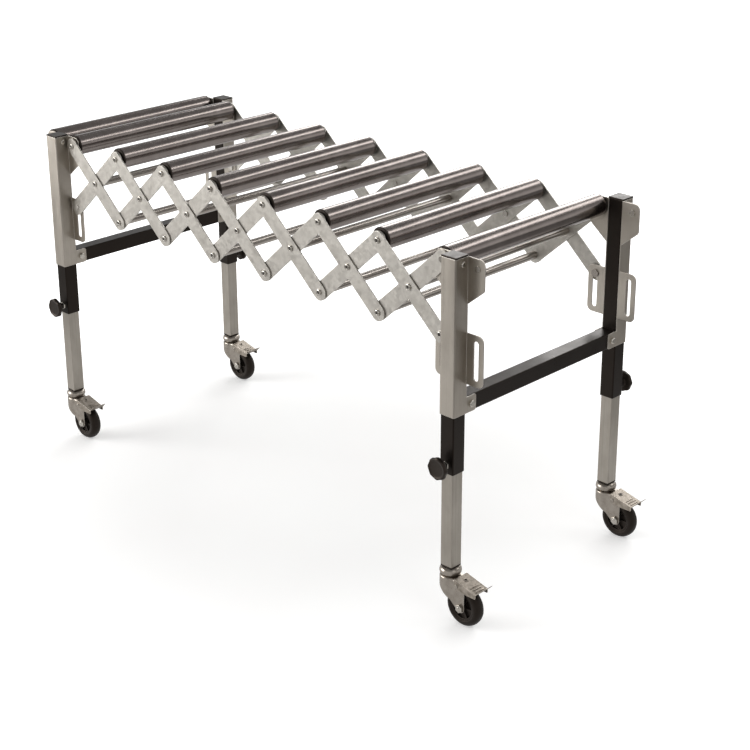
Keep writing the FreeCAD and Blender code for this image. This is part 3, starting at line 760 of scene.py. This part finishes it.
# %% [markdown]
# ## Floor and studio
#
# The floor is one wide plate of white paper. The camera sees its diffuse light plus an
# emission that is weak near the table and stronger beyond about a metre, so the far paper is
# white. Near the table the real shadow stays a pale grey, and the weaker glow greys the paper
# there too, a painted shade. The metal mirrors the lit paper round the table, and beyond a metre
# or so only the dark room. The world is white to the camera and in reflections near the horizon,
# like the paper wall of a studio, and dark overhead where the room is unlit: that is what draws
# the dark bands on the chrome.

# %% Floor
FLOOR_HALF = 20.0
GLOW_FROM, GLOW_TO = 0.3, 1.25
GLOW_NEAR, GLOW_FAR = 0.19, 0.75
PAPER_TO, ROOM_FROM = 0.95, 1.55
PAPER_LIGHT, ROOM_LIGHT = 0.50, 0.05
paper, tree, shader = new_finish("white_paper_floor")
rays = add_node(tree, "ShaderNodeLightPath")
shader.inputs["Roughness"].default_value = 0.9
shader.inputs["Specular IOR Level"].default_value = 0.1
fibre = grain(tree, (300, 300, 300))
sheet = tint(tree, fibre, "#e9e8e7", "#ececeb")
sheet = tint(tree, rays.outputs["Is Glossy Ray"], sheet, "#3c3835", amount=(0.0, 0.75),
             between=WHOLE)
tree.links.new(sheet, shader.inputs["Base Color"])
shader.inputs["Emission Color"].default_value = linear("#ffffff")
coords = add_node(tree, "ShaderNodeTexCoord")
away = add_node(tree, "ShaderNodeVectorMath", {"operation": "LENGTH"}, {
    0: coords.outputs["Object"]})
# Painted shade: the glow is weaker near the table, which greys the paper there on top of the real
# shadow.
glow_with_painted_shade = add_node(tree, "ShaderNodeMapRange", {"interpolation_type": "SMOOTHSTEP"}, {
    "Value": away.outputs["Value"], "From Min": GLOW_FROM, "From Max": GLOW_TO,
    "To Min": GLOW_NEAR, "To Max": GLOW_FAR})
paper_end = add_node(tree, "ShaderNodeMapRange", {"interpolation_type": "SMOOTHSTEP"}, {
    "Value": away.outputs["Value"], "From Min": PAPER_TO, "From Max": ROOM_FROM,
    "To Min": PAPER_LIGHT, "To Max": ROOM_LIGHT})
seen = add_node(tree, "ShaderNodeMath", {"operation": "MULTIPLY"}, {
    0: rays.outputs["Is Camera Ray"], 1: glow_with_painted_shade.outputs["Result"]})
mirrored = add_node(tree, "ShaderNodeMath", {"operation": "MULTIPLY"}, {
    0: rays.outputs["Is Glossy Ray"], 1: paper_end.outputs["Result"]})
glow = add_node(tree, "ShaderNodeMath", {"operation": "MAXIMUM"}, {
    0: seen.outputs[0], 1: mirrored.outputs[0]})
tree.links.new(glow.outputs[0], shader.inputs["Emission Strength"])
bm = bmesh.new()
bmesh.ops.create_grid(bm, x_segments=4, y_segments=4, size=FLOOR_HALF)
floor_mesh = bpy.data.meshes.new("floor")
bm.to_mesh(floor_mesh)
bm.free()
floor_mesh.materials.append(paper)
floor = bpy.data.objects.new("floor", floor_mesh)
scene.collection.objects.link(floor)
print("floor of", 2 * FLOOR_HALF, "m")

# %% [markdown]
# A studio lamp is an area light: the larger it is, the softer its shadow. The key stands low
# on the left of the camera and lights the near side. Two strips behind the table graze the
# tops of the rollers and tubes, and a weak fill opens the shadows on the right.

# %% World and lamps
WALL_LIGHT, CEILING_LIGHT, AMBIENT_LIGHT = 1.0, 0.30, 0.52
WALL_TO, CEILING_FROM = 0.12, 0.55
world = bpy.data.worlds.new("studio")
scene.world = world
world.use_nodes = True
tree = world.node_tree
tree.nodes.clear()
rays = add_node(tree, "ShaderNodeLightPath")
coords = add_node(tree, "ShaderNodeTexCoord")
height = add_node(tree, "ShaderNodeSeparateXYZ", inputs={"Vector": coords.outputs["Generated"]})
room = add_node(tree, "ShaderNodeMapRange", {"interpolation_type": "SMOOTHSTEP"}, {
    "Value": height.outputs["Z"], "From Min": WALL_TO, "From Max": CEILING_FROM,
    "To Min": WALL_LIGHT, "To Max": CEILING_LIGHT})
ambient = add_node(tree, "ShaderNodeBackground", inputs={
    "Color": "#ffffff", "Strength": AMBIENT_LIGHT})
mirrored = add_node(tree, "ShaderNodeBackground", inputs={
    "Color": "#ffffff", "Strength": room.outputs["Result"]})
seen = add_node(tree, "ShaderNodeBackground", inputs={"Color": "#ffffff", "Strength": WALL_LIGHT})
glossy = add_node(tree, "ShaderNodeMath", {"operation": "MAXIMUM"}, {
    0: rays.outputs["Is Glossy Ray"], 1: rays.outputs["Is Transmission Ray"]})
lit = add_node(tree, "ShaderNodeMixShader", inputs={
    0: glossy.outputs[0], 1: ambient.outputs[0], 2: mirrored.outputs[0]})
shown = add_node(tree, "ShaderNodeMixShader", inputs={
    0: rays.outputs["Is Camera Ray"], 1: lit.outputs[0], 2: seen.outputs[0]})
add_node(tree, "ShaderNodeOutputWorld", inputs={"Surface": shown.outputs[0]})


def lamp(name, place, aim, width, height, watts):
    light = bpy.data.lights.new(name, "AREA")
    light.shape = "RECTANGLE"
    light.size = width
    light.size_y = height
    light.energy = watts
    holder = bpy.data.objects.new(name, light)
    scene.collection.objects.link(holder)
    holder.location = place
    holder.rotation_euler = (Vector(aim) - Vector(place)).to_track_quat("-Z", "Y").to_euler()


lamp("key", (-3.3, -3.5, 1.55), (0, 0, 0.45), width=3.2, height=2.8, watts=190)
lamp("back_strip", (-1.5, 3.5, 2.3), (0, 0, 0.5), width=3.2, height=1.5, watts=75)
lamp("top_strip", (1.4, 2.6, 3.0), (0, 0, 0.5), width=2.6, height=0.5, watts=18)
lamp("fill", (3.2, -0.6, 2.4), (0, 0, 0.5), width=1.6, height=1.6, watts=8)
scene.view_settings.view_transform = "Standard"

# %% [markdown]
# ## Camera
#
# The camera stands off the near right corner and looks down at the table from above the
# rollers. Its place, turn and focal length come from matching pivots, leg corners and wheels
# of the CAD model with the photograph. A small shift of the lens keeps the upright lines from
# converging much.

# %% Camera
AZIMUTH, ELEVATION, ROLL = math.radians(44.572), math.radians(20.532), math.radians(-0.228)
FOCAL_PX, PICTURE_PX, CENTRE_Y_PX, SENSOR_MM = 1638.2, 750, 300, 36.0
EYE = Vector((2.2248, -2.1192, 1.5480))
tilted = Matrix.Rotation(AZIMUTH, 4, "Z") @ Matrix.Rotation(math.pi / 2 - ELEVATION, 4, "X")
lens = bpy.data.cameras.new("camera")
lens.sensor_width = SENSOR_MM
lens.lens = FOCAL_PX * SENSOR_MM / PICTURE_PX
lens.shift_y = (CENTRE_Y_PX - PICTURE_PX / 2) / PICTURE_PX
lens.clip_end = 100.0
camera = bpy.data.objects.new("camera", lens)
scene.collection.objects.link(camera)
camera.matrix_world = Matrix.Translation(EYE) @ tilted @ Matrix.Rotation(ROLL, 4, "Z")
scene.camera = camera
print("camera at", [round(v, 3) for v in EYE], "lens", round(lens.lens, 1), "mm")
